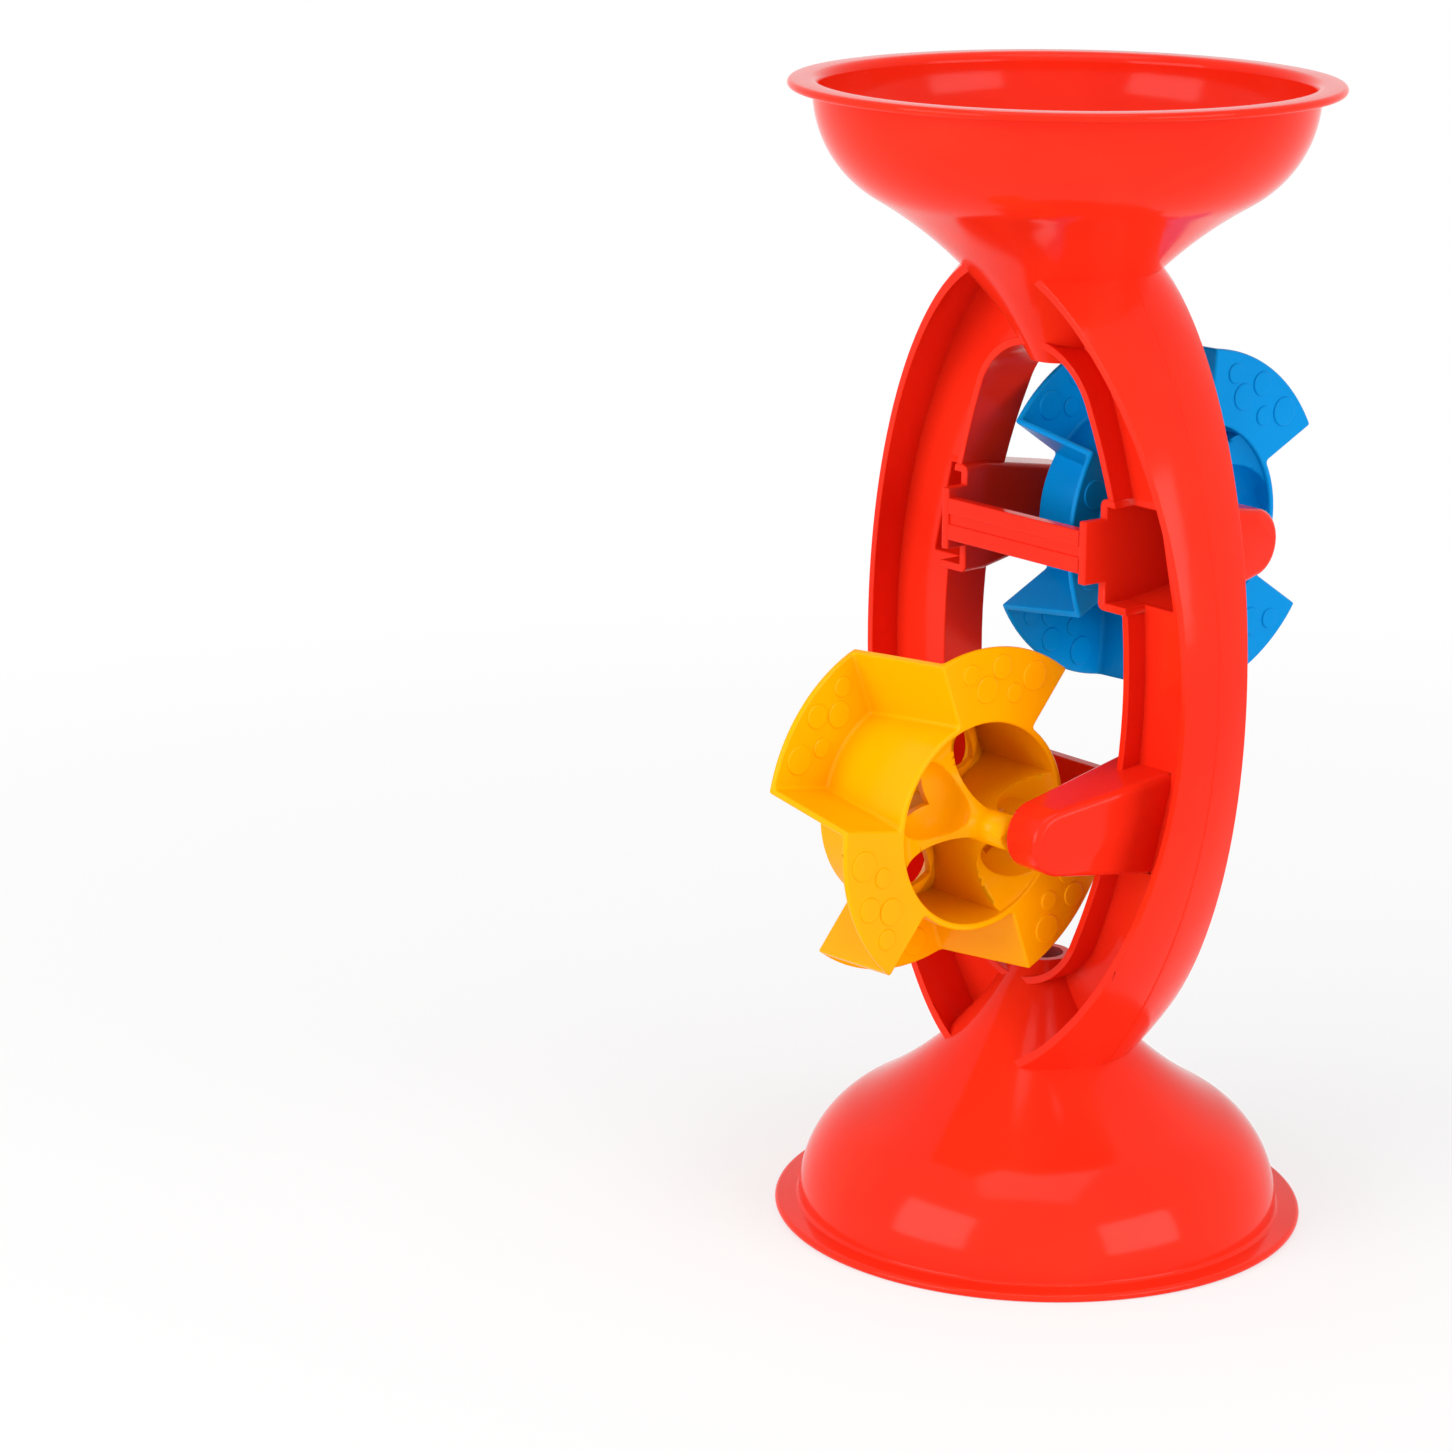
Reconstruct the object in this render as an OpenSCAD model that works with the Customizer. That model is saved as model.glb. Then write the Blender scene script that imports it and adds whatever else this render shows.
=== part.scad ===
// Sand mill: a bowed tower with a funnel, a matching base and two loose paddle wheels.
// Millimetres. The origin is the middle of the base's rim, +Z is up, +X runs along the axles,
// and the front wheel is on the -Y side. The tower looks the same when it is turned over about X.

/* [Funnel and base] */
// Height of the tower from the base's rim to the funnel's rim
tower_h = 350; // [340:1:364]
// Outer radius of the flat lip round each rim
rim_r = 81.7; // [79:0.1:86]
// Thickness of the lip
lip_t = 2.6; // [2:0.1:3]
// Outer radius of the bowl just inside its lip
bowl_r = 74.3; // [73:0.1:76]
// Height of the straight collar next to the lip
collar_h = 3; // [2.8:0.1:4]
// Radius of the bowl's round shoulder
shoulder_r = 36; // [34:0.5:38]
// Turn of the shoulder, from upright to the start of the neck
shoulder_turn = 60; // [58:0.5:62]
// Outer radius of the neck's end
spout_r = 8.6; // [8:0.1:10]
// Distance from a rim to the end of its neck
neck_d = 82.5; // [80:0.5:84]
// Wall of the bowl and neck
bowl_wall = 2; // [1.6:0.1:2.4]

/* [Legs] */
// Distance from the middle of the tower to a leg's outer face at mid-height
leg_x = 71.5; // [70:0.5:73]
// Radius of the legs' bow
leg_bow_r = 195; // [190:1:200]
// Half-depth of a leg's outer band at mid-height
band_half_d = 12.5; // [11.5:0.1:13.5]
// Radius of the sweep that widens the outer band towards its ends
band_sweep_r = 600; // [560:5:680]
// Thickness of a leg's two bands
band_t = 2.4; // [2:0.1:2.8]
// Thickness of the web between the bands
web_t = 2.5; // [2:0.1:3]
// Half-width of the window between the legs at mid-height
window_half_w = 39.4; // [38.8:0.1:40.2]
// Radius of the window's bowed sides
window_side_r = 211; // [206:1:218]
// Radius of the window's round ends
window_end_r = 24.5; // [23.5:0.1:25.5]
// Half-depth of a leg's inner band at mid-height
lining_half_d = 8; // [7.4:0.1:8.6]
// Radius of the sweep that widens the inner band towards its ends
lining_sweep_r = 1400; // [1200:10:1600]

/* [Arms and bars] */
// Distance of an axle in front of or behind the middle of the tower
axle_y = 43; // [42:0.1:44]
// Distance of an axle below or above mid-height
axle_dz = 39.6; // [38.5:0.1:40.5]
// Radius of an arm's round tip, seen from the side
tip_r = 10.2; // [9.8:0.1:10.8]
// Reach of the tip past the axle
tip_reach = 5; // [4.8:0.1:5.6]
// Slope of an arm's top and bottom
arm_slope = 9.6; // [8.5:0.1:10.5]
// Distance from the middle of the tower to an arm's inner face at mid-depth
cheek_x = 29.6; // [29.2:0.1:30.2]
// Spread of the inner faces towards the tips
cheek_splay = 3.7; // [3.2:0.1:4.2]
// Thickness of an arm's inner wall
cheek_t = 3; // [2.6:0.1:3.4]
// Thickness of an arm's other walls
arm_wall = 2.4; // [2:0.1:2.8]
// Distance from the middle of the tower to an arm's outer face at mid-depth
arm_outer_x = 54.2; // [53:0.1:55]
// Taper of the outer face towards the tip
arm_taper = 9; // [8:0.1:9.6]
// Distance from the middle of the tower to the leaning lower part of the outer face at axle height
arm_waist_x = 51; // [50:0.1:52]
// Lean of that lower part from upright
arm_lean = 13.9; // [12:0.1:15]
// Distance from the middle of the tower at which the deep part of an arm's root ends
root_step_x = 43; // [42.4:0.1:44]
// Depth of the inner wall's free end, where the bar joins it
cheek_end_y = 17.3; // [17:0.1:18.5]
// Half-height of that free end
cheek_end_half_h = 9.5; // [9:0.1:10]
// Height of a bar
bar_h = 13; // [12:0.1:14]
// Thickness of a bar
bar_t = 4; // [3.4:0.1:4.2]
// Offset of a bar from axle height, away from mid-height
bar_rise = 1.4; // [1:0.1:1.8]
// Height of the groove along a bar's outer face
groove_h = 3; // [2.4:0.1:4]
// Depth of that groove
groove_d = 0.8; // [0.5:0.1:1.2]

/* [Wheels] */
// Outer radius of a wheel
wheel_r = 53.4; // [52:0.1:54.4]
// Half-width of a wheel over its paddles
wheel_half_w = 18.2; // [17.4:0.1:19]
// Outer radius of the drum behind the pockets
drum_r = 32.6; // [31.8:0.1:33.4]
// Wall of a wheel
wheel_wall = 2; // [1.7:0.1:2.3]
// Lean of the walls between the pockets
pocket_lean = 8.4; // [7:0.1:9.5]
// Radius of the hollow sweep from the drum to the hub
hollow_r = 14.2; // [13.8:0.1:14.8]
// Distance of that sweep's centre from the axle
hollow_c_r = 19; // [18.6:0.1:19.4]
// Depth below the drum's edge at which the sweep meets the drum
hollow_set_in = 1.2; // [0.8:0.1:2]
// Radius of the hub's ends
hub_r = 5.2; // [4.9:0.1:5.5]
// Half-length of the hub between its pins
hub_half_l = 31.5; // [30.8:0.1:31.6]
// Radius of the pins at the hub's ends
pin_r = 2.5; // [2.3:0.05:2.6]
// Length of a pin
pin_l = 4.7; // [4:0.1:5]
// Radius of the round scoops that sink into the hub
scoop_r = 12.5; // [12:0.1:13]
// Distance of a scoop's centre from the axle
scoop_c_r = 18.5; // [18.2:0.1:18.8]
// Distance of a scoop's centre from the middle of the wheel
scoop_c_z = 15.5; // [15:0.1:16.5]
// Turn of the hub's scoops against the pockets
scoop_turn = -17; // [-20:1:20]
// Width of the square window in the bottom of a scoop
slot_w = 10.5; // [8:0.1:11]
// Turn of the front wheel, as it stands
front_turn = 80.6; // [0:0.1:359.9]
// Turn of the rear wheel, as it stands
rear_turn = 116.3; // [0:0.1:359.9]

/* [Fits] */
// Gap round a pin in its socket
pin_clear = 0.1; // [0.05:0.01:0.1]
// Gap past a pin's end in its socket
pin_end_clear = 0.6; // [0.4:0.1:0.8]
// Wall round a socket
socket_wall = 1.8; // [1.6:0.1:2]
// Depth by which an arm's root stands proud of the inner band
root_proud = 0.3; // [0.2:0.1:0.5]

/* [Hidden] */
$fn = 96;
// Overrun of every cut past the face that it opens
over = 1;
// Reach of blanks that are larger than the whole toy
far = 2 * tower_h;
mid_z = tower_h / 2;
tower_red = [0.90, 0.10, 0.06];
front_yellow = [1.00, 0.72, 0.00];
rear_blue = [0.00, 0.48, 0.80];
// Half of a full size
half = 1 / 2;

// Bowl: the shoulder's centre, and the neck's sweep from the shoulder to the spout
shoulder_c = [bowl_r - shoulder_r, collar_h];
shoulder_dir = [cos(shoulder_turn), sin(shoulder_turn)];
shoulder_end = shoulder_c + shoulder_r * shoulder_dir;
neck_run = [spout_r, neck_d] - shoulder_end;
neck_r = (neck_run * neck_run) / (2 * neck_run * shoulder_dir);
neck_c = shoulder_end + neck_r * shoulder_dir;

// Legs: centres of the bows, measured from the middle of the tower
leg_c_x = leg_x - leg_bow_r;
window_c_x = window_half_w - window_side_r;
window_end_z = sqrt(pow(window_side_r - window_end_r, 2) - pow(window_c_x, 2));
window_join_share = window_end_z / (window_side_r - window_end_r);

// Arms: the tip's centre, and the half-height of the root where the slopes end
tip_c_y = tip_r - tip_reach - axle_y;
root_half_h = tip_r / cos(arm_slope) - tip_c_y * tan(arm_slope);
arm_end_y = -axle_y - tip_reach;
root_top_dz = axle_dz + root_half_h;
root_y = lining_half_d + lining_sweep_r - sqrt(pow(lining_sweep_r, 2) - pow(root_top_dz, 2)) + root_proud;
socket_r = pin_r + pin_clear;
socket_end_x = hub_half_l + pin_l + pin_end_clear;
boss_r = socket_r + socket_wall;
boss_end_x = socket_end_x + socket_wall;

// Outward ease of a round outline where straight or flatter sides run into it
join_ease = 0.05;

// Wheel: three pockets open to each side in turn, and two scoops sink into each side of the hub
side_pockets = 3;
side_scoops = 2;
scoop_pitch = 360 / side_scoops;
scoop_half_turn = scoop_pitch / 2;
rib_angle = scoop_half_turn / 2;
pocket_pitch = 360 / side_pockets;
half_pitch = pocket_pitch / 2;
wall_angle = half_pitch / 2;
drum_in_r = drum_r - wheel_wall;
hollow_c_z = wheel_half_w - hollow_set_in + sqrt(pow(hollow_r, 2) - pow(drum_in_r - hollow_c_r, 2));
slot_start = scoop_c_r * cos(rib_angle) - slot_w / 2;

// Inner face of an arm at a given depth
function cheek_face(y) = cheek_x - y * tan(cheek_splay);
// Outer face of an arm at a given depth
function arm_face(y) = arm_outer_x + y * tan(arm_taper);

// The same piece on the other side of the tower, turned over about X
module turned_over() {
    translate([0, 0, tower_h]) rotate([180, 0, 0]) children();
}

// Everything inside the bowl's and neck's outer face, or a wall further in, from the rim up
module bowl_outline(inset, past) {
    join = shoulder_c + (shoulder_r - inset) * shoulder_dir;
    translate([0, -past]) square([bowl_r - inset, collar_h + past]);
    intersection() {
        translate(shoulder_c) circle(shoulder_r - inset, $fn = 180);
        translate([0, collar_h]) square([bowl_r, join.y - collar_h]);
    }
    difference() {
        square([join.x, neck_d + past]);
        translate(neck_c) circle(neck_r + inset, $fn = 360);
    }
}

// The whole space that a bowl and its neck take up, rim down
module bowl_space() {
    rotate_extrude($fn = 180) bowl_outline(0, 0);
}

// Bowl with lip, shoulder and neck, rim down
module bowl() {
    lip_edge_r = lip_t / 2;
    rotate_extrude($fn = 180) difference() {
        union() {
            bowl_outline(0, 0);
            square([rim_r - lip_edge_r, lip_t]);
            translate([rim_r - lip_edge_r, lip_edge_r]) circle(lip_edge_r, $fn = 32);
        }
        bowl_outline(bowl_wall, over);
    }
}

// Window between the legs, grown outwards by a given amount, about the middle of the tower
module window_outline(grow) {
    side_r = window_side_r + grow;
    join_z = side_r * window_join_share;
    intersection() {
        translate([window_c_x, 0]) circle(side_r, $fn = 360);
        translate([-window_c_x, 0]) circle(side_r, $fn = 360);
        translate([-far, -join_z]) square([2 * far, 2 * join_z]);
    }
    for (end = [-1, 1]) translate([0, end * window_end_z]) circle(window_end_r + join_ease + grow, $fn = 120);
}

// Right half of the area inside a leg's outer face, shrunk by a given amount
module leg_outline(inset) {
    intersection() {
        translate([leg_c_x, 0]) circle(leg_bow_r - inset, $fn = 360);
        translate([0, -mid_z]) square([leg_x, tower_h]);
    }
}

// Stands an outline of the tower's front view upright, with its depth shared to both sides
module stand_up(depth) {
    translate([0, 0, mid_z]) rotate([90, 0, 0]) linear_extrude(depth, center = true) children();
}

// Cuts that leave a band with a given half-depth at mid-height, widening along a sweep
module depth_cuts(half_d, sweep_r) {
    for (side = [-1, 1])
        translate([0, side * (half_d + sweep_r), mid_z]) rotate([0, 90, 0])
            cylinder(r = sweep_r, h = far, center = true, $fn = 360);
}

// Right half of the barrel-shaped shell that the outer bands are part of, between the bowls
module band_shell() {
    end_dz = mid_z - collar_h - shoulder_r;
    translate([0, 0, mid_z]) intersection() {
        rotate_extrude($fn = 360) intersection() {
            difference() {
                leg_outline(0);
                leg_outline(band_t);
            }
            translate([0, -end_dz]) square([leg_x, 2 * end_dz]);
        }
        translate([0, -far, -far]) cube(2 * far);
    }
}

// Right leg: an outer band, an inner band round the window, and a web between them
module leg() {
    difference() {
        union() {
            difference() {
                band_shell();
                depth_cuts(band_half_d, band_sweep_r);
            }
            difference() {
                stand_up(2 * bowl_r) difference() {
                    intersection() {
                        window_outline(band_t);
                        leg_outline(0);
                    }
                    window_outline(0);
                }
                depth_cuts(lining_half_d, lining_sweep_r);
            }
            stand_up(web_t) difference() {
                leg_outline(band_t * half);
                window_outline(band_t * half);
            }
        }
        bowl_space();
        turned_over() bowl_space();
        arm_space();
        turned_over() arm_space();
    }
}

// Side view of an arm with its tip towards -Y, shrunk by a given amount, about its axle's height
module arm_side(inset, past) {
    r = tip_r - inset;
    join = [tip_c_y - r * sin(arm_slope), r * cos(arm_slope)];
    root_h = r / cos(arm_slope) - tip_c_y * tan(arm_slope);
    end_y = root_y + past;
    translate([tip_c_y, 0]) circle(r + join_ease, $fn = 96);
    polygon([join, [0, root_h], [end_y, root_h], [end_y, -root_h], [0, -root_h], [join.x, -join.y]]);
}

// Plan of an arm, whose root reaches through the inner band and, further out, only to the web
module arm_plan() {
    step_y = web_t * half;
    tip_y = arm_end_y - over;
    polygon([
        [cheek_face(root_y), root_y],
        [root_step_x, root_y],
        [root_step_x, step_y],
        [arm_face(step_y), step_y],
        [arm_face(tip_y), tip_y],
        [cheek_face(tip_y), tip_y]
    ]);
}

// Plan of the hollow in an arm, open behind over its whole width
module hollow_plan() {
    back_y = root_y + over;
    tip_y = arm_end_y - over;
    polygon([
        [cheek_face(back_y) + cheek_t, back_y],
        [arm_face(back_y) - arm_wall, back_y],
        [arm_face(tip_y) - arm_wall, tip_y],
        [cheek_face(tip_y) + cheek_t, tip_y]
    ]);
}

// Front view of the leaning lower part of an arm's outer face
module arm_lean_view(outer_inset) {
    reach = 2 * root_half_h;
    lean = reach * tan(arm_lean);
    waist = arm_waist_x - outer_inset;
    polygon([[0, -reach], [waist - lean, -reach], [waist + lean, reach], [0, reach]]);
}

// Tapered block of a right front arm, about its axle's height
module arm_block() {
    intersection() {
        rotate([90, 0, 90]) linear_extrude(far) arm_side(0, 0);
        linear_extrude(far, center = true) arm_plan();
        rotate([90, 0, 0]) linear_extrude(far, center = true) arm_lean_view(0);
    }
}

// Hollow in that block
module arm_hollow() {
    intersection() {
        rotate([90, 0, 90]) linear_extrude(far) arm_side(arm_wall, over);
        linear_extrude(far, center = true) hollow_plan();
        rotate([90, 0, 0]) linear_extrude(far, center = true) arm_lean_view(arm_wall);
    }
}

// The space that a right front arm takes up where it runs through the leg
module arm_space() {
    translate([0, 0, mid_z - axle_dz]) arm_block();
}

// Free end of the inner wall, a tab that reaches to the bar
module cheek_end() {
    translate([0, 0, -bar_rise]) linear_extrude(2 * cheek_end_half_h, center = true) polygon([
        [cheek_face(root_y), root_y], [cheek_face(root_y) + cheek_t, root_y],
        [cheek_face(cheek_end_y) + cheek_t, cheek_end_y], [cheek_face(cheek_end_y), cheek_end_y]
    ]);
}

// A solid round bar along the axle, from one distance off the middle of the tower to another
module along_axle(r, from_x, to_x) {
    translate([from_x, -axle_y, 0]) rotate([0, 90, 0]) cylinder(r = r, h = to_x - from_x, $fn = 64);
}

// Right front arm: a hollow tapered box, open behind, with a blind socket for the wheel's pin
module arm() {
    translate([0, 0, mid_z - axle_dz]) difference() {
        union() {
            difference() {
                arm_block();
                arm_hollow();
            }
            intersection() {
                arm_block();
                along_axle(boss_r, cheek_x, boss_end_x);
            }
            cheek_end();
        }
        along_axle(socket_r, cheek_x - over, socket_end_x);
    }
}

// Bar between the free ends of a pair of arms, with a groove along its outer face
module bar() {
    inner_y = cheek_end_y - bar_t;
    translate([0, 0, mid_z - axle_dz - bar_rise]) difference() {
        linear_extrude(bar_h, center = true) polygon([
            [-cheek_face(inner_y), inner_y], [cheek_face(inner_y), inner_y],
            [cheek_face(cheek_end_y), cheek_end_y], [-cheek_face(cheek_end_y), cheek_end_y]
        ]);
        translate([-cheek_x, cheek_end_y - groove_d, -groove_h * half]) cube([2 * cheek_x, bar_t, groove_h]);
    }
}

// One side of a leaning pocket wall, as a half space towards the pocket
module pocket_side() {
    rotate(wall_angle) rotate([pocket_lean, 0, 0])
        translate([0, -far - wheel_wall * half, -far * half]) cube(far);
}

// Space of one pocket that is closed by a paddle at the top and open below and outwards
module pocket() {
    intersection() {
        pocket_side();
        mirror([0, 1, 0]) pocket_side();
        translate([0, 0, -wheel_half_w - over]) difference() {
            cylinder(r = wheel_r + over, h = 2 * wheel_half_w + over - wheel_wall, $fn = 180);
            cylinder(r = drum_r, h = 2 * wheel_half_w + over, $fn = 180);
        }
    }
}

// Places a shape in each pocket, or in each place between them, that opens to one side
module each_pocket() {
    for (k = [0 : side_pockets - 1]) {
        rotate(k * pocket_pitch) children();
        rotate(k * pocket_pitch + half_pitch) mirror([0, 0, 1]) children();
    }
}

// Places a shape in each scoop's quarter of the hub, on the side to which the scoop opens
module each_scoop() {
    for (k = [0 : side_scoops - 1]) {
        rotate(scoop_turn + k * scoop_pitch) children();
        rotate(scoop_turn + k * scoop_pitch + scoop_half_turn) mirror([0, 0, 1]) children();
    }
}

// Half section of the hollow on one side of a wheel, between its drum and its hub
module hollow_circle(grow) {
    translate([hollow_c_r, hollow_c_z]) circle(hollow_r + grow, $fn = 180);
}

// Ring-shaped hollow between drum and hub, open below
module hollow_ring() {
    mirror([0, 0, 1]) rotate_extrude($fn = 180) hollow_circle(0);
}

// Ring that is a wall larger than the hollow, between drum and hub
module web_ring() {
    mirror([0, 0, 1]) rotate_extrude($fn = 180) intersection() {
        hollow_circle(wheel_wall);
        union() {
            square([hollow_c_r, hollow_c_z]);
            square([drum_r - wheel_wall * half, wheel_half_w]);
        }
    }
}

// Ball of a scoop that sinks deeper than the hollow
module scoop_ball(grow) {
    translate([scoop_c_r, 0, -scoop_c_z]) sphere(scoop_r + grow, $fn = 96);
}

// Outside of a scoop from its centre inwards, within the drum
module scoop_shell() {
    intersection() {
        scoop_ball(wheel_wall);
        translate([0, 0, -scoop_c_z]) cylinder(r = drum_r - wheel_wall * half, h = scoop_c_z, $fn = 180);
    }
}

// Web between drum and hub in one quarter, with its scoop open below, as wide as the ribs beside it
module hub_web() {
    apex_x = wheel_wall * half / sin(rib_angle);
    difference() {
        intersection() {
            union() {
                web_ring();
                scoop_shell();
            }
            linear_extrude(far, center = true) translate([-apex_x, 0]) polygon([
                [0, 0], far * [cos(rib_angle), -sin(rib_angle)], far * [cos(rib_angle), sin(rib_angle)]
            ]);
        }
        hollow_ring();
        scoop_ball(0);
        rotate(-rib_angle) translate([slot_start, slot_start, -far * half]) cube([slot_w, slot_w, far]);
    }
}

// Rib between drum and hub, ending inside the webs on both sides
module hub_rib() {
    rotate([90, 0, 0]) linear_extrude(wheel_wall, center = true) difference() {
        translate([0, -wheel_half_w]) square([drum_r - wheel_wall * half, 2 * wheel_half_w]);
        hollow_circle(wheel_wall * half);
        mirror([0, 1]) hollow_circle(wheel_wall * half);
    }
}

// Paddle wheel with its axle upright, about its middle
module wheel() {
    difference() {
        cylinder(r = wheel_r, h = 2 * wheel_half_w, center = true, $fn = 180);
        cylinder(r = drum_in_r, h = far, center = true, $fn = 180);
        each_pocket() pocket();
    }
    each_scoop() hub_web();
    for (k = [0 : 2 * side_scoops - 1]) rotate(scoop_turn + rib_angle + k * scoop_half_turn) hub_rib();
    cylinder(r = hub_r, h = 2 * hub_half_l, center = true, $fn = 64);
    cylinder(r = pin_r, h = 2 * (hub_half_l + pin_l), center = true, $fn = 64);
}

// Wheel on the front axle, turned by a given angle
module hung_wheel(turn) {
    translate([0, -axle_y, mid_z - axle_dz]) rotate([90, 0, 90]) rotate(turn) wheel();
}

module funnel() {
    color(tower_red) turned_over() bowl();
}

module base() {
    color(tower_red) bowl();
}

module left_leg() {
    color(tower_red) mirror([1, 0, 0]) leg();
}

module right_leg() {
    color(tower_red) leg();
}

module front_left_arm() {
    color(tower_red) mirror([1, 0, 0]) arm();
}

module front_right_arm() {
    color(tower_red) arm();
}

module rear_left_arm() {
    color(tower_red) turned_over() mirror([1, 0, 0]) arm();
}

module rear_right_arm() {
    color(tower_red) turned_over() arm();
}

module upper_bar() {
    color(tower_red) turned_over() bar();
}

module lower_bar() {
    color(tower_red) bar();
}

module front_wheel() {
    color(front_yellow) hung_wheel(front_turn);
}

module rear_wheel() {
    color(rear_blue) turned_over() hung_wheel(rear_turn);
}

funnel();
base();
left_leg();
right_leg();
front_left_arm();
front_right_arm();
rear_left_arm();
rear_right_arm();
upper_bar();
lower_bar();
front_wheel();
rear_wheel();
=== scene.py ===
from math import cos, pi, radians, sin, sqrt

import bmesh
import bpy
from mathutils import Matrix, Vector
from mathutils.bvhtree import BVHTree


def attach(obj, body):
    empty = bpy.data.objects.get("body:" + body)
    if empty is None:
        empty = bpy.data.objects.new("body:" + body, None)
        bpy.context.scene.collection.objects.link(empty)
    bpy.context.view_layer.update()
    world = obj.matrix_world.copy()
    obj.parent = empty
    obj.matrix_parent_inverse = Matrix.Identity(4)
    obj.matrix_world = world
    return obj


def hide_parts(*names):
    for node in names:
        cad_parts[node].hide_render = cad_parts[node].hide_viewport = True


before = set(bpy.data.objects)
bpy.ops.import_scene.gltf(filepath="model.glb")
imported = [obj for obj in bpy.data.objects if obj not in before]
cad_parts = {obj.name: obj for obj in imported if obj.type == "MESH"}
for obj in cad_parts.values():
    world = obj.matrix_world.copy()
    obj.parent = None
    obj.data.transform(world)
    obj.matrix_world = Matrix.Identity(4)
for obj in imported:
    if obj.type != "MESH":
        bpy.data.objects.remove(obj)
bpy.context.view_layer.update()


# Base of the tower: an upturned bowl with a flat lip, a round shoulder and a long waisted neck.
# It comes out of the same red moulding as the legs and the funnel, with an even two millimetre
# wall, polished on the outside and open below.
mm = 0.001


def moulded_plastic(name, colour, deep, gloss, sheen):
    """Glossy plastic whose pigment drifts between a colour and a deeper one."""
    finish = bpy.data.materials.new(name)
    finish.use_nodes = True
    nodes, links = finish.node_tree.nodes, finish.node_tree.links
    shader = nodes["Principled BSDF"]
    place = nodes.new("ShaderNodeTexCoord")
    # Slow drift of the pigment, as the melt flowed through the mould
    flow = nodes.new("ShaderNodeTexNoise")
    flow.inputs["Scale"].default_value = 16
    flow.inputs["Detail"].default_value = 3
    flow.inputs["Distortion"].default_value = 0.6
    links.new(place.outputs["Object"], flow.inputs["Vector"])
    spread = nodes.new("ShaderNodeMapRange")
    spread.inputs["From Min"].default_value = 0.35
    spread.inputs["From Max"].default_value = 0.70
    links.new(flow.outputs["Fac"], spread.inputs["Value"])
    tint = nodes.new("ShaderNodeMix")
    tint.data_type = "RGBA"
    tint.inputs["A"].default_value = (*colour, 1)
    tint.inputs["B"].default_value = (*deep, 1)
    links.new(spread.outputs["Result"], tint.inputs["Factor"])
    links.new(tint.outputs["Result"], shader.inputs["Base Color"])
    # Uneven polish of the mould's steel
    polish = nodes.new("ShaderNodeTexNoise")
    polish.inputs["Scale"].default_value = 55
    polish.inputs["Detail"].default_value = 4
    links.new(place.outputs["Object"], polish.inputs["Vector"])
    rough = nodes.new("ShaderNodeMapRange")
    rough.inputs["To Min"].default_value = gloss - 0.04
    rough.inputs["To Max"].default_value = gloss + 0.05
    links.new(polish.outputs["Fac"], rough.inputs["Value"])
    links.new(rough.outputs["Result"], shader.inputs["Roughness"])
    # Faint shrink ripple under the gloss
    ripple = nodes.new("ShaderNodeTexNoise")
    ripple.inputs["Scale"].default_value = 150
    ripple.inputs["Detail"].default_value = 2
    links.new(place.outputs["Object"], ripple.inputs["Vector"])
    bump = nodes.new("ShaderNodeBump")
    bump.inputs["Strength"].default_value = 0.10
    bump.inputs["Distance"].default_value = 0.15 * mm
    links.new(ripple.outputs["Fac"], bump.inputs["Height"])
    links.new(bump.outputs["Normal"], shader.inputs["Normal"])
    shader.inputs["IOR"].default_value = 1.5
    shader.inputs["Specular IOR Level"].default_value = sheen
    return finish


red = moulded_plastic("tower_red_plastic", (0.86, 0.027, 0.008), (0.80, 0.020, 0.006),
                      gloss=0.13, sheen=0.11)

bowl_r, bowl_wall = 74.3 * mm, 2.0 * mm
lip_r, lip_t, lip_inner_r = 81.7 * mm, 2.6 * mm, 2.8 * mm
collar_h, collar_round_r = 3.0 * mm, 1.2 * mm
shoulder_r, shoulder_turn = 36.0 * mm, radians(60)
spout_r, neck_d = 8.6 * mm, 82.5 * mm
shoulder_dir = Vector((cos(shoulder_turn), 0, sin(shoulder_turn)))
shoulder_c = Vector((bowl_r - shoulder_r, 0, collar_h))
shoulder_end = shoulder_c + shoulder_r * shoulder_dir
neck_run = Vector((spout_r, 0, neck_d)) - shoulder_end
neck_r = neck_run.length_squared / (2 * neck_run.dot(shoulder_dir))
neck_c = shoulder_end + neck_r * shoulder_dir
weld, fine_weld = 0.02 * mm, 0.01 * mm


def arc(bm, vert, centre, angle, steps):
    """Draws the section on along an arc, and gives the arc's last point."""
    bent = bmesh.ops.spin(bm, geom=[vert], cent=centre, axis=(0, 1, 0), angle=angle, steps=steps)
    return next(v for v in bent["geom_last"] if isinstance(v, bmesh.types.BMVert))


def line(bm, vert, x, z):
    """Draws the section on along a straight line, and gives the line's last point."""
    drawn = bmesh.ops.extrude_vert_indiv(bm, verts=[vert])["verts"][0]
    drawn.co = (x, 0, z)
    return drawn


def spun(bm, steps):
    """Spins a drawn section round the upright axis, with its faces outwards."""
    bmesh.ops.spin(bm, geom=bm.verts[:] + bm.edges[:], cent=(0, 0, 0), axis=(0, 0, 1),
                   angle=2 * pi, steps=steps, use_merge=True)
    bmesh.ops.remove_doubles(bm, verts=bm.verts, dist=fine_weld)
    bmesh.ops.recalc_face_normals(bm, faces=bm.faces)


def neck_turn(inset):
    """Start of the neck's sweep at the spout, from the sweep's centre, and the sweep's angle."""
    run_down = neck_d - neck_c.z
    start = Vector((-sqrt((neck_r + inset) ** 2 - run_down ** 2), 0, run_down))
    return start, start.angle(shoulder_end - neck_c)


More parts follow.
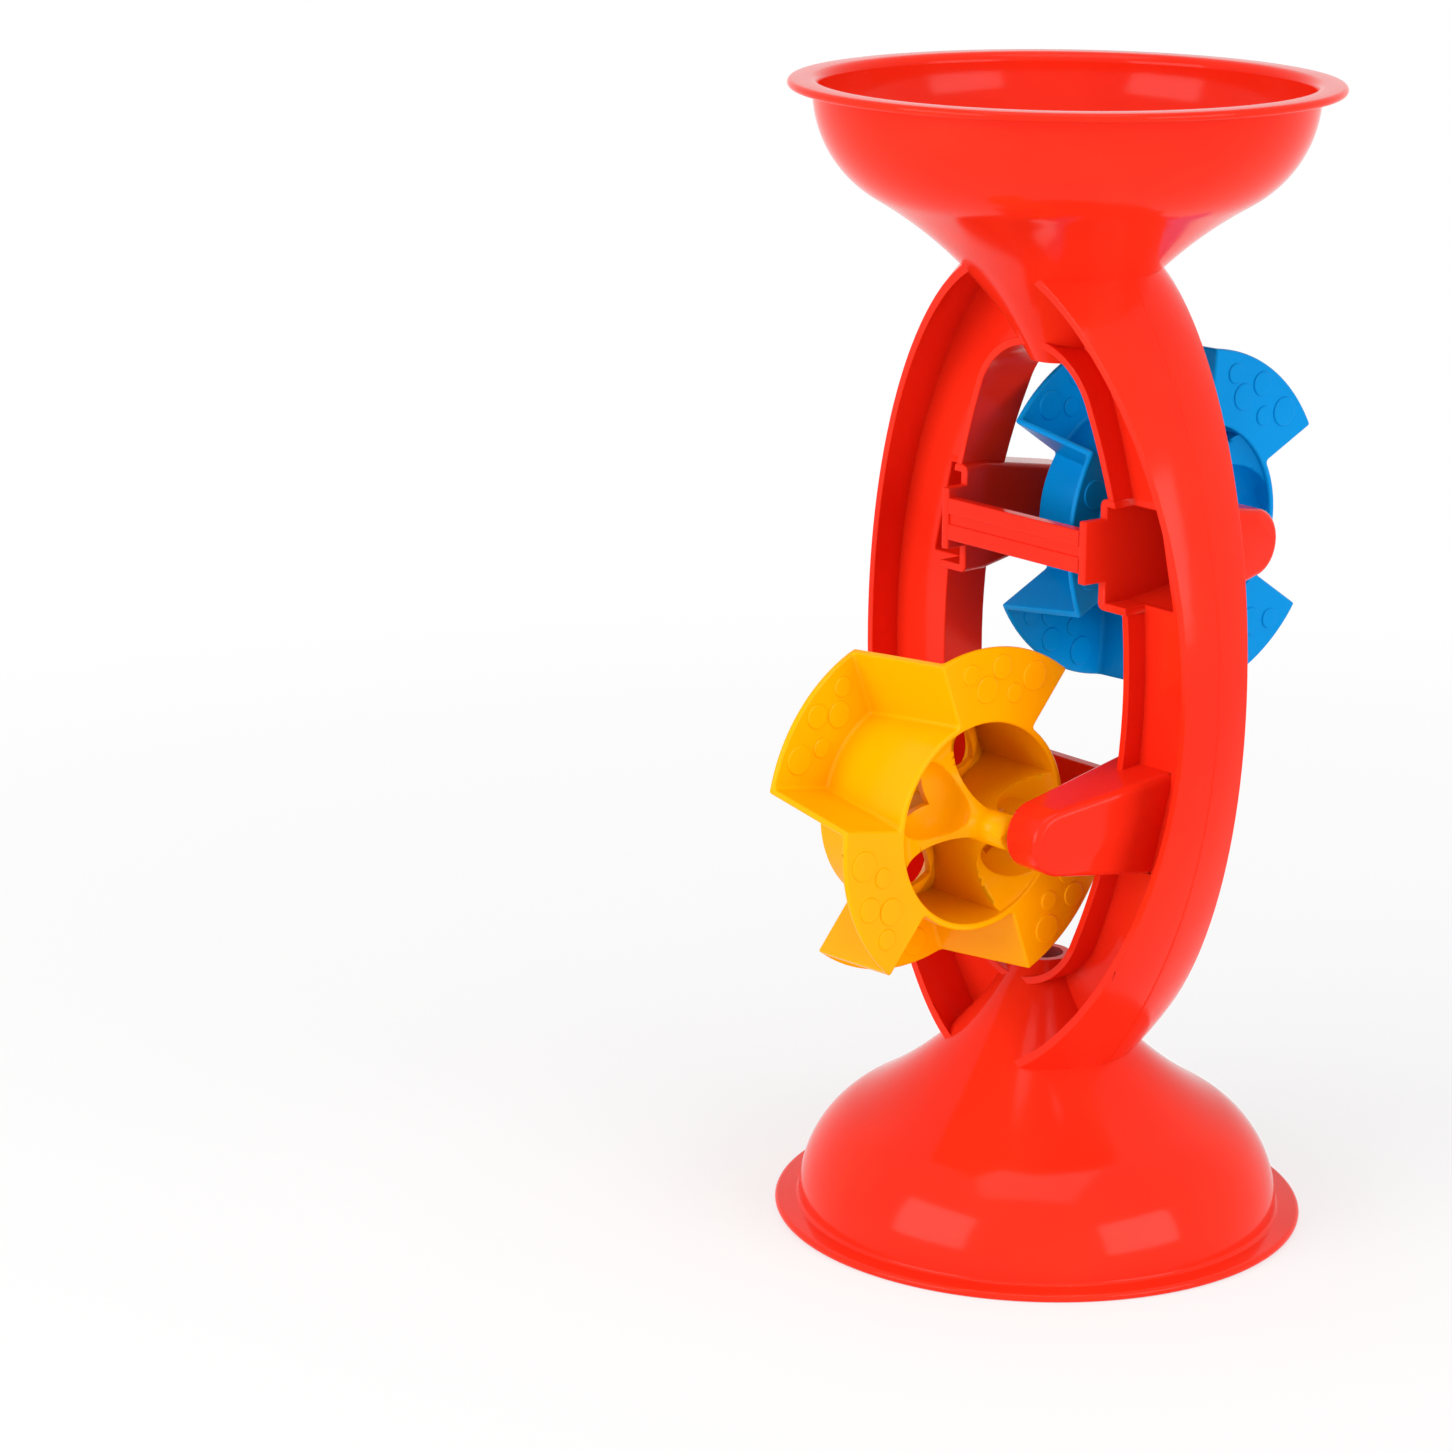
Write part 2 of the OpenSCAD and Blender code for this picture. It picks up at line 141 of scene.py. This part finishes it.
def bowl_mesh():
    """A bowl, spun from a section down its inside, round the lip and back up the outside."""
    neck_steps, shoulder_steps, inner_steps, lip_steps, collar_steps = 26, 22, 8, 10, 5
    round_steps = 160
    bm = bmesh.new()
    start, turn = neck_turn(bowl_wall)
    v = first = bm.verts.new(neck_c + start)
    v = arc(bm, v, neck_c, -turn, neck_steps)
    v = arc(bm, v, shoulder_c, shoulder_turn, shoulder_steps)
    v = line(bm, v, v.co.x, lip_inner_r)
    v = arc(bm, v, (v.co.x + lip_inner_r, 0, v.co.z), -pi / 2, inner_steps)
    v = line(bm, v, lip_r - lip_t / 2, 0)
    v = arc(bm, v, (v.co.x, 0, lip_t / 2), -pi, lip_steps)
    v = line(bm, v, bowl_r + collar_round_r, lip_t)
    v = arc(bm, v, (v.co.x, 0, v.co.z + collar_round_r), pi / 2, collar_steps)
    lead = (v.co - shoulder_c).angle(Vector((1, 0, 0)))
    v = arc(bm, v, shoulder_c, lead - shoulder_turn, shoulder_steps)
    start, turn = neck_turn(0)
    v = arc(bm, v, neck_c, turn, neck_steps)
    bm.edges.new((v, first))
    bmesh.ops.remove_doubles(bm, verts=bm.verts, dist=weld)
    spun(bm, round_steps)
    return bm


def piece(bm, name, finish):
    """A smooth object of its own from a mesh, with creases only at real edges."""
    crease = radians(35)
    mesh = bpy.data.meshes.new(name)
    bm.to_mesh(mesh)
    bm.free()
    mesh.materials.append(finish)
    mesh.shade_smooth()
    mesh.set_sharp_from_angle(angle=crease)
    made = bpy.data.objects.new(name, mesh)
    bpy.context.scene.collection.objects.link(made)
    return made


base_bowl = piece(bowl_mesh(), "base_bowl", red)
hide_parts("base")
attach(base_bowl, "tower")


# Legs: two bowed H-section ribbons that carry the funnel on the base. Each has a wide outer band
# that curves like a barrel, a narrower band round the window and a thin web between them.
# They are moulded in one with the bowls, and their edges are slightly rounded.
upright = Vector((0, 0, 1))


def merged(node, cuts, flatness, knots=()):
    """A copy of a solid's mesh in whole faces, cut by planes so that no face has a hole."""
    on_plane = 0.005 * mm
    bm = bmesh.new()
    bm.from_mesh(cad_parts[node].data)

    def sliced(spot, facing):
        """Cuts the mesh along a plane, and gives the edges that lie on it."""
        geom = bm.verts[:] + bm.edges[:] + bm.faces[:]
        found = bmesh.ops.bisect_plane(bm, geom=geom, dist=on_plane, plane_co=spot,
                                       plane_no=facing)
        return [e for e in found["geom_cut"] if isinstance(e, bmesh.types.BMEdge)]

    # Heights at which a long edge is knotted to the corners that lie along it
    for spot in knots:
        sliced(spot, upright)
    bmesh.ops.remove_doubles(bm, verts=bm.verts, dist=weld)
    bmesh.ops.dissolve_degenerate(bm, edges=bm.edges, dist=weld)
    kept = set()
    for spot, facing in cuts:
        kept.update(sliced(spot, facing))
    flat = [e for e in bm.edges if e not in kept]
    bmesh.ops.dissolve_limit(bm, angle_limit=radians(flatness), verts=bm.verts, edges=flat)
    return bm


def eased(bm, width, steps, picked, least=35, most=180):
    """Rounds the picked edges whose faces meet at such an angle, as they leave the mould."""
    sharp = [e for e in bm.edges if e.is_manifold and picked(e)
             and radians(least) < e.calc_face_angle_signed(0) < radians(most)]
    bmesh.ops.bevel(bm, geom=sharp, offset=width, offset_type="OFFSET", segments=steps,
                    profile=0.5, affect="EDGES", material=-1, clamp_overlap=False,
                    loop_slide=True)


def solid_tree(node):
    """A solid's faces, to measure distances from."""
    solid = bmesh.new()
    solid.from_mesh(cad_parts[node].data)
    tree = BVHTree.FromBMesh(solid)
    solid.free()
    return tree


def pressed(bm, node):
    """Closes the slivers that fold over where a rounded edge runs along a curved face."""
    nearby, turned_back = 1.2 * mm, -0.1
    tree = solid_tree(node)
    folded = set()
    for f in bm.faces:
        near = tree.find_nearest_range(f.calc_center_median(), nearby)
        if near and max(f.normal.dot(hit[1]) for hit in near) < turned_back:
            folded.update(f.edges)
    bmesh.ops.collapse(bm, edges=list(folded))


def clear_of(others):
    """Tells whether an edge lies off the solids that its piece is moulded to."""
    touching = 0.25 * mm
    trees = [solid_tree(other) for other in others]

    def free_end(v):
        return all(tree.find_nearest(v.co, touching)[0] is None for tree in trees)

    return lambda e: any(free_end(v) for v in e.verts)


def weigh_normals(made):
    """Keeps large flat faces flat beside their rounded edges."""
    weigh = made.modifiers.new("weigh", "WEIGHTED_NORMAL")
    weigh.keep_sharp = True
    weigh.weight = 80


tower_h = 350 * mm
bow_r, bow_c = 195 * mm, Vector((-123.5 * mm, 0, tower_h / 2))
leg_edge_r, edge_steps = 0.36 * mm, 3
seam_reach, seam_steps = radians(38.5), 90
# Section of the seam: distance from the middle of the band and rise from its face, in millimetres
seam_section = ((-0.9, -0.1), (-0.35, 0.28), (0.35, 0.28), (0.9, -0.1))
for side, hand in (("left", -1), ("right", 1)):
    leg_bm = merged(f"{side}_leg", [], flatness=1.2)
    free = clear_of(["funnel", "base", f"front_{side}_arm", f"rear_{side}_arm"])
    eased(leg_bm, leg_edge_r, edge_steps, free)
    pressed(leg_bm, f"{side}_leg")
    # The seam that the two halves of the mould leave along the middle of the outer band
    seam_bm = bmesh.new()
    ends = []
    for y, rise in seam_section:
        r = bow_r + rise * mm
        low_end = (hand * (bow_c.x + r * cos(seam_reach)), y * mm, bow_c.z - r * sin(seam_reach))
        ends.append(seam_bm.verts.new(low_end))
    seam = [seam_bm.edges.new(pair) for pair in zip(ends, ends[1:] + ends[:1])]
    bmesh.ops.spin(seam_bm, geom=ends + seam, cent=(hand * bow_c.x, 0, bow_c.z),
                   axis=(0, 1, 0), angle=-hand * 2 * seam_reach, steps=seam_steps)
    bmesh.ops.holes_fill(seam_bm, edges=[e for e in seam_bm.edges if e.is_boundary])
    bmesh.ops.recalc_face_normals(seam_bm, faces=seam_bm.faces)
    seam_mesh = bpy.data.meshes.new("seam")
    seam_bm.to_mesh(seam_mesh)
    seam_bm.free()
    leg_bm.from_mesh(seam_mesh)
    bpy.data.meshes.remove(seam_mesh)
    leg = piece(leg_bm, f"{side}_leg_ribbon", red)
    weigh_normals(leg)
    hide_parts(f"{side}_leg")
    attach(leg, "tower")


# Arms: four hollow tapered boxes with round tips, two to the front for the lower wheel and two to
# the rear for the upper one. Each is moulded through its leg, is open behind and has a blind
# socket in its inner wall, into which a wheel's pin snaps.
front_axle = Vector((0, -43 * mm, 135.4 * mm))
rear_axle = Vector((0, 43 * mm, 214.6 * mm))
arm_round_r, arm_round_steps, arm_edge_r = 2.2 * mm, 5, 0.6 * mm
web_face, root_back_y, root_step_x = 1.25 * mm, 9.5 * mm, 43 * mm
cheek_reach_x, socket_reach, lengthwise_share = 34 * mm, 3.5 * mm, 0.6
tab_rise, tab_half_h = 1.4 * mm, 9.5 * mm
lining_c_x, lining_r, lining_ease = -171.6 * mm, 213.4 * mm, 0.4 * mm
for way, axle, ahead, bar in (("front", front_axle, -1, "lower_bar"),
                              ("rear", rear_axle, 1, "upper_bar")):
    for side, hand in (("left", -1), ("right", 1)):
        node = f"{way}_{side}_arm"
        tab_ends = [axle + upright * (ahead * tab_rise + end * tab_half_h) for end in (-1, 1)]
        across_axle, across_web = (axle, upright), ((0, ahead * web_face, 0), (0, 1, 0))
        arm_bm = merged(node, [across_axle, across_web], flatness=0.2, knots=tab_ends)
        # Behind the web, roof and floor stop at the outer face of the leg's inner band
        for v in arm_bm.verts:
            if abs(hand * v.co.x - root_step_x) < weld:
                off_mid = v.co.z - tower_h / 2
                lining_x = lining_c_x + sqrt(lining_r ** 2 - off_mid ** 2)
                v.co.x = hand * (lining_x + lining_ease)
        free = clear_of([f"{side}_leg", bar])

        def along(e):
            """The box's edges ahead of the web and its long inner ones behind, off the socket."""
            if any((v.co - axle).yz.length < socket_reach for v in e.verts):
                return False
            run = e.verts[0].co - e.verts[1].co
            lengthwise = abs(run.y) > lengthwise_share * run.length
            inner = lengthwise and all(abs(v.co.x) < cheek_reach_x for v in e.verts)
            outer = all(ahead * v.co.y > web_face - fine_weld for v in e.verts)
            return outer or (inner and all(ahead * v.co.y > -root_back_y for v in e.verts))

        eased(arm_bm, arm_round_r, arm_round_steps, along)
        eased(arm_bm, arm_edge_r, edge_steps, free)
        pressed(arm_bm, node)
        arm = piece(arm_bm, f"{node}_box", red)
        weigh_normals(arm)
        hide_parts(node)
        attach(arm, "tower")


# Bars: a flat strip between the free ends of each pair of arms, which keeps them from spreading.
# A shallow groove runs along its outer face, and its long edges are rounded.
bar_edge_r, long_edge = 0.6 * mm, 20 * mm
for level in ("upper", "lower"):
    strip_bm = merged(f"{level}_bar", [], flatness=0.2)
    eased(strip_bm, bar_edge_r, edge_steps, lambda e: e.calc_length() > long_edge)
    strip = piece(strip_bm, f"{level}_bar_strip", red)
    weigh_normals(strip)
    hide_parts(f"{level}_bar")
    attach(strip, "tower")


# Funnel: the same bowl as the base, the other way up. Sand is poured in at its rim and runs out
# of its neck onto the paddles of the wheel below it.
funnel_bm = bowl_mesh()
turn_over = Matrix.Translation((0, 0, tower_h)) @ Matrix.Rotation(pi, 4, "X")
bmesh.ops.transform(funnel_bm, matrix=turn_over, verts=funnel_bm.verts)
funnel_bowl = piece(funnel_bm, "funnel_bowl", red)
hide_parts("funnel")
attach(funnel_bowl, "tower")


# Wheels: one yellow and one blue paddle wheel, each a single moulding with six pockets that open
# to either side in turn round a drum, and four scoops that sink into its hub. The pins at the ends
# of the hub turn freely in the sockets of the arms.
yellow = moulded_plastic("wheel_yellow_plastic", (0.97, 0.42, 0.0), (0.93, 0.38, 0.0),
                         gloss=0.22, sheen=0.08)
blue = moulded_plastic("wheel_blue_plastic", (0.0, 0.28, 0.70), (0.0, 0.24, 0.63),
                       gloss=0.22, sheen=0.06)
drum_r, half_w, paddle_t = 32.6 * mm, 18.2 * mm, 2.0 * mm
paddles = 6
paddle_pitch = 360 / paddles
pocket_edge_r, wheel_edge_r = 1.2 * mm, 0.8 * mm
drum_slack, rim_w, face_slack = 1.2 * mm, 3 * mm, 0.3 * mm
pebble_h, pebble_sink = 0.5 * mm, 0.2 * mm
pebble_edge_steps, pebble_round_steps = 5, 32
# Pebbles of a paddle: distance from the axle and radius in millimetres, with the turn from the
# paddle's middle in degrees between them
pebble_places = ((46.5, -15, 4.6), (40.0, -7, 3.1), (47.5, 2, 3.8), (41.0, 9, 4.2),
                 (46.8, 17, 3.2))


def pebble(radius):
    """A low round pebble, as it stands on a paddle's face."""
    bm = bmesh.new()
    v = line(bm, bm.verts.new((0, 0, -pebble_sink)), radius, -pebble_sink)
    v = line(bm, v, radius, 0)
    v = arc(bm, v, (radius - pebble_h, 0, 0), -pi / 2, pebble_edge_steps)
    line(bm, v, 0, v.co.z)
    spun(bm, pebble_round_steps)
    mesh = bpy.data.meshes.new("pebble")
    bm.to_mesh(mesh)
    bm.free()
    return mesh


for way, finish, slot, axle, turn, flip in (
    ("front", yellow, "wheel_yellow", front_axle, 80.6, 1),
    ("rear", blue, "wheel_blue", rear_axle, 116.3, -1),
):
    wheel_bm = merged(f"{way}_wheel", [(axle, upright), (axle, (0, 1, 0))], flatness=0.05)

    def outside(e):
        """The edges of the pockets and the drum's rim, but not those of the hub."""
        inmost = min((v.co - axle).yz.length for v in e.verts)
        on_face = all(abs(v.co.x) > half_w - face_slack for v in e.verts)
        return inmost > drum_r - drum_slack or (on_face and inmost > drum_r - rim_w)

    eased(wheel_bm, pocket_edge_r, edge_steps, outside, least=-180, most=-35)
    eased(wheel_bm, wheel_edge_r, edge_steps, outside)
    pressed(wheel_bm, f"{way}_wheel")
    # Low pebbles on both faces of every paddle
    for k in range(paddles):
        face = 1 if k % 2 == 0 else -1
        for away, round_to, radius in pebble_places:
            angle = radians(turn + paddle_pitch * k + face * round_to)
            away *= flip * mm
            off_axle = Vector((0, away * cos(angle), away * sin(angle)))
            stone = pebble(radius * mm)
            for level, towards in ((half_w, face), (half_w - paddle_t, -face)):
                stand = Matrix.Translation(axle + off_axle + Vector((face * level, 0, 0)))
                placed = stone.copy()
                placed.transform(stand @ Matrix.Rotation(towards * pi / 2, 4, "Y"))
                wheel_bm.from_mesh(placed)
                bpy.data.meshes.remove(placed)
            bpy.data.meshes.remove(stone)
    wheel = piece(wheel_bm, f"{way}_paddle_wheel", finish)
    weigh_normals(wheel)
    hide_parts(f"{way}_wheel")
    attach(wheel, f"{way}_wheel")


# Studio: a pale paper floor that runs out of sight, a white surround, two large soft boxes to the
# left and right of the camera and a weaker one overhead.
scene = bpy.context.scene
scene.view_settings.view_transform = "Standard"
floor_half_w = 30
floor_bm = bmesh.new()
bmesh.ops.create_grid(floor_bm, x_segments=1, y_segments=1, size=floor_half_w)
floor_mesh = bpy.data.meshes.new("floor")
floor_bm.to_mesh(floor_mesh)
floor_bm.free()
floor = bpy.data.objects.new("floor", floor_mesh)
scene.collection.objects.link(floor)
paper = bpy.data.materials.new("pale_paper")
paper.use_nodes = True
nodes, links = paper.node_tree.nodes, paper.node_tree.links
matte = nodes["Principled BSDF"]
matte.inputs["Base Color"].default_value = (0.86, 0.86, 0.86, 1)
matte.inputs["Roughness"].default_value = 0.9
glow = nodes.new("ShaderNodeEmission")
glow.inputs["Strength"].default_value = 1.0


def seen_directly(nodes, links):
    """One for rays from the camera, off a gloss or through a clear piece, else zero."""
    ray = nodes.new("ShaderNodeLightPath")
    either, seen = nodes.new("ShaderNodeMath"), nodes.new("ShaderNodeMath")
    links.new(ray.outputs["Is Camera Ray"], either.inputs[0])
    links.new(ray.outputs["Is Glossy Ray"], either.inputs[1])
    links.new(either.outputs["Value"], seen.inputs[0])
    links.new(ray.outputs["Is Transmission Ray"], seen.inputs[1])
    seen.use_clamp = True
    return seen.outputs["Value"]


# Near the toy the paper keeps its soft shadow, and further off it runs out to white
place, off = nodes.new("ShaderNodeTexCoord"), nodes.new("ShaderNodeVectorMath")
off.operation = "LENGTH"
links.new(place.outputs["Object"], off.inputs[0])
run_out = nodes.new("ShaderNodeMapRange")
run_out.inputs["From Min"].default_value = 0.10
run_out.inputs["From Max"].default_value = 0.80
run_out.inputs["To Min"].default_value = 0.62
run_out.inputs["To Max"].default_value = 1.0
links.new(off.outputs["Value"], run_out.inputs["Value"])
share = nodes.new("ShaderNodeMath")
share.operation = "MULTIPLY"
links.new(seen_directly(nodes, links), share.inputs[0])
links.new(run_out.outputs["Result"], share.inputs[1])
blend = nodes.new("ShaderNodeMixShader")
links.new(share.outputs["Value"], blend.inputs["Fac"])
links.new(matte.outputs["BSDF"], blend.inputs[1])
links.new(glow.outputs["Emission"], blend.inputs[2])
links.new(blend.outputs["Shader"], nodes["Material Output"].inputs["Surface"])
floor_mesh.materials.append(paper)

world = bpy.data.worlds.new("white_surround")
scene.world = world
world.use_nodes = True
nodes, links = world.node_tree.nodes, world.node_tree.links
back = nodes["Background"]
back.inputs["Color"].default_value = (1, 1, 1, 1)
strength = nodes.new("ShaderNodeMapRange")
strength.inputs["To Min"].default_value = 0.55
strength.inputs["To Max"].default_value = 1.0
links.new(seen_directly(nodes, links), strength.inputs["Value"])
links.new(strength.outputs["Result"], back.inputs["Strength"])

middle = Vector((0, 0, 0.17))
for name, around, above, distance, width, height, watts in (
    ("soft_box_right", 98, 12, 1.5, 1.0, 0.75, 11.2),
    ("soft_box_left", -4, 14, 1.5, 1.0, 0.85, 13),
    ("soft_box_over", 40, 75, 1.6, 1.2, 1.2, 9),
):
    lamp = bpy.data.lights.new(name, "AREA")
    lamp.shape = "RECTANGLE"
    lamp.size, lamp.size_y, lamp.energy = width, height, watts
    around, above = radians(around), radians(above)
    away = Vector((sin(around) * cos(above), -cos(around) * cos(above), sin(above)))
    soft_box = bpy.data.objects.new(name, lamp)
    soft_box.location = middle + away * distance
    soft_box.rotation_mode = "QUATERNION"
    soft_box.rotation_quaternion = away.to_track_quat("Z", "Y")
    scene.collection.objects.link(soft_box)


# Camera: where the photograph was taken from, looking down a little from the front right.
# Its place, turn and lens were solved from the two equal rims and the tower's upright axis.
eye = bpy.data.cameras.new("camera")
eye.sensor_width = 36
eye.sensor_fit = "HORIZONTAL"
eye.lens = 106.28
eye.clip_end = 100
camera = bpy.data.objects.new("camera", eye)
scene.collection.objects.link(camera)
scene.camera = camera
eye_place = Vector((0.9139, -0.8686, 0.4951))
yaw, pitch, roll = radians(50.918), radians(15.196), radians(0.4166)
ahead = Vector((-sin(yaw) * cos(pitch), cos(yaw) * cos(pitch), -sin(pitch)))
across = Vector((cos(yaw), sin(yaw), 0))
up = across.cross(ahead)
across, up = cos(roll) * across + sin(roll) * up, cos(roll) * up - sin(roll) * across
stand = Matrix((across, up, -ahead)).transposed().to_4x4()
stand.translation = eye_place
camera.matrix_world = stand
